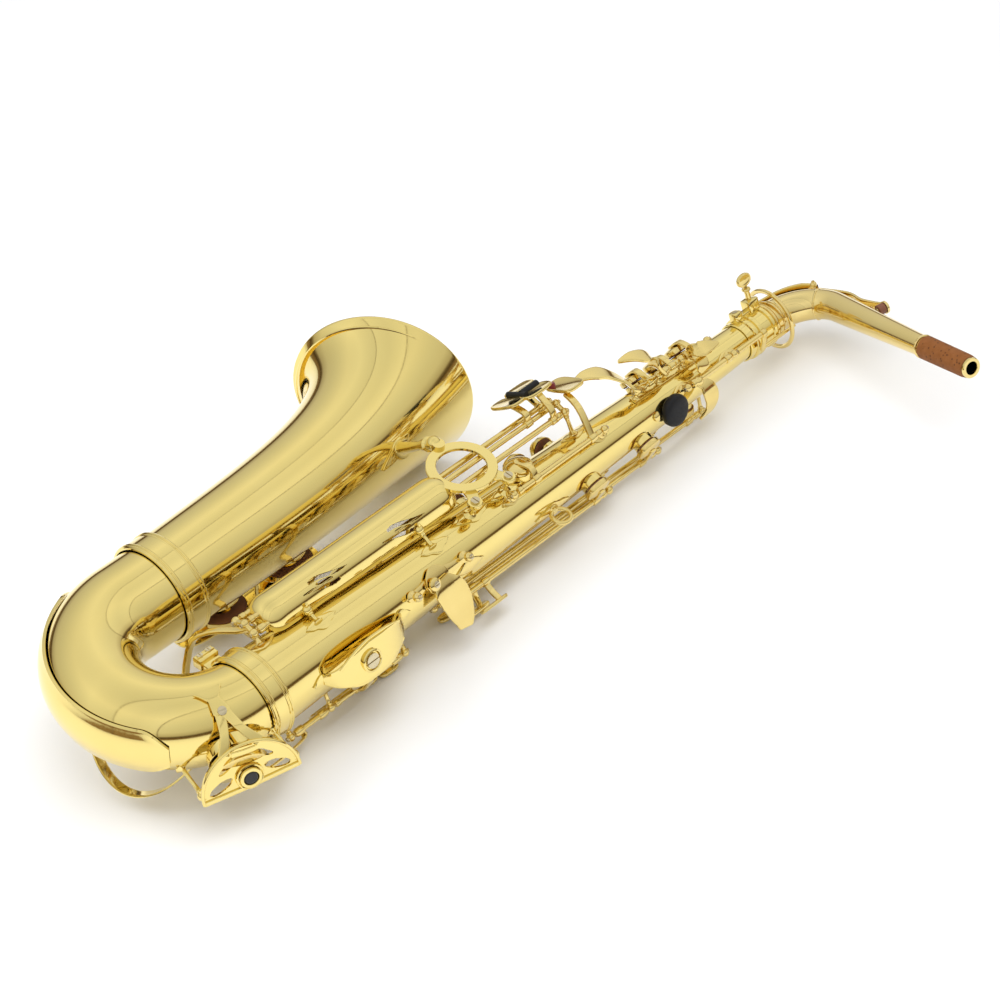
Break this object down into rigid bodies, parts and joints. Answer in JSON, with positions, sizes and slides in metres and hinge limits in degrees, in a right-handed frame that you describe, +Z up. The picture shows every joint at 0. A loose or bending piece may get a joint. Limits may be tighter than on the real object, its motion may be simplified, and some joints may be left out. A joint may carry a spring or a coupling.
{
  "type": "alto saxophone",
  "caption": "Curved single-reed horn in lacquered brass, lying on its side, with a flared bell, swivelling neck and sprung keywork.",
  "frame": {"origin": "middle of the underside of the bounding box, on the surface that the instrument lies on", "axes": "+X runs up the body tube from the bow towards the neck, +Y from the body towards the bell, +Z up, to the side on the player's left"},
  "size_m": [0.6622, 0.3914, 0.1271],
  "materials": {
    "lacquered_brass": "polished gold lacquer",
    "neck_brass": "polished gold lacquer",
    "pad_leather": "smooth brown leather",
    "cork": "sanded cork",
    "black_plastic": "polished black"
  },
  "bodies": {
    "horn": {"bell": "lacquered_brass", "bell_bow_ring": "lacquered_brass", "bell_brace": "lacquered_brass", "bell_key_guard": "lacquered_brass", "body_bow_clamp_ring": "lacquered_brass", "body_tube": "lacquered_brass", "bow": "lacquered_brass", "bow_guard_plate": "lacquered_brass", "bow_loop_guard": "lacquered_brass", "g_sharp_rail": "lacquered_brass", "low_c_guard": "lacquered_brass", "low_eb_guard": "lacquered_brass", "low_key_rail": "lacquered_brass", "lower_stack_rail": "lacquered_brass", "neck_receiver": "lacquered_brass", "octave_rail": "lacquered_brass", "palm_rail": "lacquered_brass", "side_key_rail": "lacquered_brass", "stack_guard": "lacquered_brass", "strap_ring": "lacquered_brass", "table_rail": "lacquered_brass", "thumb_hook": "lacquered_brass", "thumb_rest": "black_plastic", "upper_stack_rail": "lacquered_brass"},
    "key_d": {"key_d": "lacquered_brass"},
    "key_e": {"key_e": "lacquered_brass"},
    "key_f": {"key_f": "lacquered_brass"},
    "key_fsharp": {"key_fsharp": "lacquered_brass"},
    "key_g": {"key_g": "lacquered_brass"},
    "key_a": {"key_a": "lacquered_brass"},
    "key_b": {"key_b": "lacquered_brass"},
    "key_c": {"key_c": "lacquered_brass"},
    "side_bb": {"side_bb_key": "lacquered_brass", "side_bb_pad": "pad_leather"},
    "side_c": {"side_c_key": "lacquered_brass", "side_c_pad": "pad_leather"},
    "high_e": {"high_e_key": "lacquered_brass"},
    "g_sharp": {"g_sharp_key": "lacquered_brass", "g_sharp_pad": "pad_leather"},
    "palm_d": {"palm_d_key": "lacquered_brass"},
    "palm_eb": {"palm_eb_key": "lacquered_brass"},
    "palm_f": {"palm_f_key": "lacquered_brass"},
    "low_eb": {"low_eb_key": "lacquered_brass"},
    "low_c": {"low_c_key": "lacquered_brass", "low_c_pad": "pad_leather"},
    "low_csharp": {"low_csharp_key": "lacquered_brass"},
    "low_b": {"low_b_key": "lacquered_brass"},
    "low_bb": {"low_bb_key": "lacquered_brass"},
    "neck": {"neck_tube": "neck_brass", "neck_cork": "cork"},
    "octave_thumb": {"octave_thumb_lever": "lacquered_brass"},
    "octave_ring": {"octave_ring_lever": "lacquered_brass"},
    "neck_octave": {"neck_octave_key": "neck_brass", "neck_octave_pad": "pad_leather"},
    "screw": {"neck_screw": "lacquered_brass"}
  },
  "joints": [
    {"name": "key_d_hinge", "type": "hinge", "parent": "horn", "child": "key_d", "pos_m": [-0.15838, 0.01583, 0.02702], "axis": [0.9988, 0.0036, -0.0497], "range_deg": [0, 9], "stiffness_Nm_per_rad": 0.056, "springref_deg": -28.65},
    {"name": "key_e_hinge", "type": "hinge", "parent": "horn", "child": "key_e", "pos_m": [-0.12192, 0.01596, 0.0252], "axis": [0.9988, 0.0036, -0.0497], "range_deg": [0, 9], "stiffness_Nm_per_rad": 0.053, "springref_deg": -28.65},
    {"name": "key_f_hinge", "type": "hinge", "parent": "horn", "child": "key_f", "pos_m": [-0.08597, 0.01609, 0.02341], "axis": [0.9988, 0.0036, -0.0497], "range_deg": [0, 9], "stiffness_Nm_per_rad": 0.048, "springref_deg": -28.65},
    {"name": "key_fsharp_hinge", "type": "hinge", "parent": "horn", "child": "key_fsharp", "pos_m": [-0.05526, 0.0162, 0.02188], "axis": [0.9988, 0.0036, -0.0497], "range_deg": [0, 9], "stiffness_Nm_per_rad": 0.037, "springref_deg": -28.65},
    {"name": "key_g_hinge", "type": "hinge", "parent": "horn", "child": "key_g", "pos_m": [-0.01938, 0.01344, 0.02329], "axis": [0.9988, 0.0036, -0.0497], "range_deg": [0, 9], "stiffness_Nm_per_rad": 0.042, "springref_deg": -28.65},
    {"name": "key_a_hinge", "type": "hinge", "parent": "horn", "child": "key_a", "pos_m": [0.00958, 0.01354, 0.02184], "axis": [0.9988, 0.0036, -0.0497], "range_deg": [0, 9], "stiffness_Nm_per_rad": 0.037, "springref_deg": -28.65},
    {"name": "key_b_hinge", "type": "hinge", "parent": "horn", "child": "key_b", "pos_m": [0.03805, 0.01364, 0.02043], "axis": [0.9988, 0.0036, -0.0497], "range_deg": [0, 9], "stiffness_Nm_per_rad": 0.035, "springref_deg": -28.65},
    {"name": "key_c_hinge", "type": "hinge", "parent": "horn", "child": "key_c", "pos_m": [0.06451, 0.01374, 0.01911], "axis": [0.9988, 0.0036, -0.0497], "range_deg": [0, 9], "stiffness_Nm_per_rad": 0.032, "springref_deg": -28.65},
    {"name": "side_bb_hinge", "type": "hinge", "parent": "horn", "child": "side_bb", "pos_m": [0.00559, -0.02393, 0.01938], "axis": [0.9988, 0.0036, -0.0497], "range_deg": [0, 10], "stiffness_Nm_per_rad": 0.026, "springref_deg": -28.65},
    {"name": "side_c_hinge", "type": "hinge", "parent": "horn", "child": "side_c", "pos_m": [0.03136, -0.01739, 0.01454], "axis": [0.9988, 0.0036, -0.0497], "range_deg": [0, 10], "stiffness_Nm_per_rad": 0.027, "springref_deg": -28.65},
    {"name": "high_e_hinge", "type": "hinge", "parent": "horn", "child": "high_e", "pos_m": [0.05621, -0.01018, 0.01142], "axis": [0.9988, 0.0036, -0.0497], "range_deg": [-10, 0], "stiffness_Nm_per_rad": 0.022, "springref_deg": 28.65},
    {"name": "g_sharp_hinge", "type": "hinge", "parent": "horn", "child": "g_sharp", "pos_m": [0.04091, -0.02188, 0.06535], "axis": [0.9988, 0.0036, -0.0497], "range_deg": [0, 10], "stiffness_Nm_per_rad": 0.038, "springref_deg": -28.65},
    {"name": "palm_d_hinge", "type": "hinge", "parent": "horn", "child": "palm_d", "pos_m": [0.14375, -0.00997, 0.06046], "axis": [0.9988, 0.0036, -0.0497], "range_deg": [0, 10], "stiffness_Nm_per_rad": 0.038, "springref_deg": -28.65},
    {"name": "palm_eb_hinge", "type": "hinge", "parent": "horn", "child": "palm_eb", "pos_m": [0.16772, -0.00989, 0.05926], "axis": [0.9988, 0.0036, -0.0497], "range_deg": [0, 10], "stiffness_Nm_per_rad": 0.032, "springref_deg": -28.65},
    {"name": "palm_f_hinge", "type": "hinge", "parent": "horn", "child": "palm_f", "pos_m": [0.19369, -0.00979, 0.05797], "axis": [0.9988, 0.0036, -0.0497], "range_deg": [0, 10], "stiffness_Nm_per_rad": 0.027, "springref_deg": -28.65},
    {"name": "low_eb_hinge", "type": "hinge", "parent": "horn", "child": "low_eb", "pos_m": [-0.15289, -0.01968, 0.014], "axis": [0.9988, 0.0036, -0.0497], "range_deg": [0, 9], "stiffness_Nm_per_rad": 0.057, "springref_deg": -28.65},
    {"name": "low_c_hinge", "type": "hinge", "parent": "horn", "child": "low_c", "pos_m": [-0.20483, -0.01987, 0.01659], "axis": [0.9988, 0.0036, -0.0497], "range_deg": [-8, 0], "stiffness_Nm_per_rad": 0.068, "springref_deg": 28.65},
    {"name": "low_csharp_hinge", "type": "hinge", "parent": "horn", "child": "low_csharp", "pos_m": [-0.07095, 0.00157, 0.08276], "axis": [0.9988, 0.0036, -0.0497], "range_deg": [-5, 0], "stiffness_Nm_per_rad": 0.265, "springref_deg": 28.65},
    {"name": "low_b_hinge", "type": "hinge", "parent": "horn", "child": "low_b", "pos_m": [-0.07077, 0.00906, 0.08687], "axis": [0.9988, 0.0036, -0.0497], "range_deg": [0, 4], "stiffness_Nm_per_rad": 0.309, "springref_deg": -28.65},
    {"name": "low_bb_hinge", "type": "hinge", "parent": "horn", "child": "low_bb", "pos_m": [-0.07089, 0.01741, 0.08504], "axis": [0.9988, 0.0036, -0.0497], "range_deg": [0, 4], "stiffness_Nm_per_rad": 0.322, "springref_deg": -28.65},
    {"name": "neck_swivel", "type": "hinge", "parent": "horn", "child": "neck", "pos_m": [0.27341, -0.0053, 0.03056], "axis": [0.9988, 0.0036, -0.0497], "range_deg": [-60, 60]},
    {"name": "octave_thumb_hinge", "type": "hinge", "parent": "horn", "child": "octave_thumb", "pos_m": [0.19518, -0.02516, 0.04662], "axis": [0.9988, 0.0036, -0.0497], "range_deg": [0, 5], "stiffness_Nm_per_rad": 0.023, "springref_deg": -28.65},
    {"name": "octave_ring_hinge", "type": "hinge", "parent": "horn", "child": "octave_ring", "pos_m": [0.23513, -0.02501, 0.04463], "axis": [0.9988, 0.0036, -0.0497], "range_deg": [-3, 0], "stiffness_Nm_per_rad": 0.021, "springref_deg": 28.65},
    {"name": "neck_octave_hinge", "type": "hinge", "parent": "neck", "child": "neck_octave", "pos_m": [0.32259, -0.01232, 0.02936], "axis": [0.0484, 0.1706, 0.9841], "range_deg": [0, 3], "stiffness_Nm_per_rad": 0.046, "springref_deg": -28.65},
    {"name": "neck_screw_turn", "type": "hinge", "parent": "horn", "child": "screw", "pos_m": [0.26515, -0.00166, 0.04594], "axis": [0.0475, 0.2389, 0.9699], "continuous": true}
  ],
  "couplings": [
    {"joint": "key_fsharp_hinge", "follows": "key_f_hinge", "ratio": 1},
    {"joint": "octave_ring_hinge", "follows": "octave_thumb_hinge", "ratio": -0.6},
    {"joint": "neck_octave_hinge", "follows": "octave_thumb_hinge", "ratio": 0.6}
  ]
}
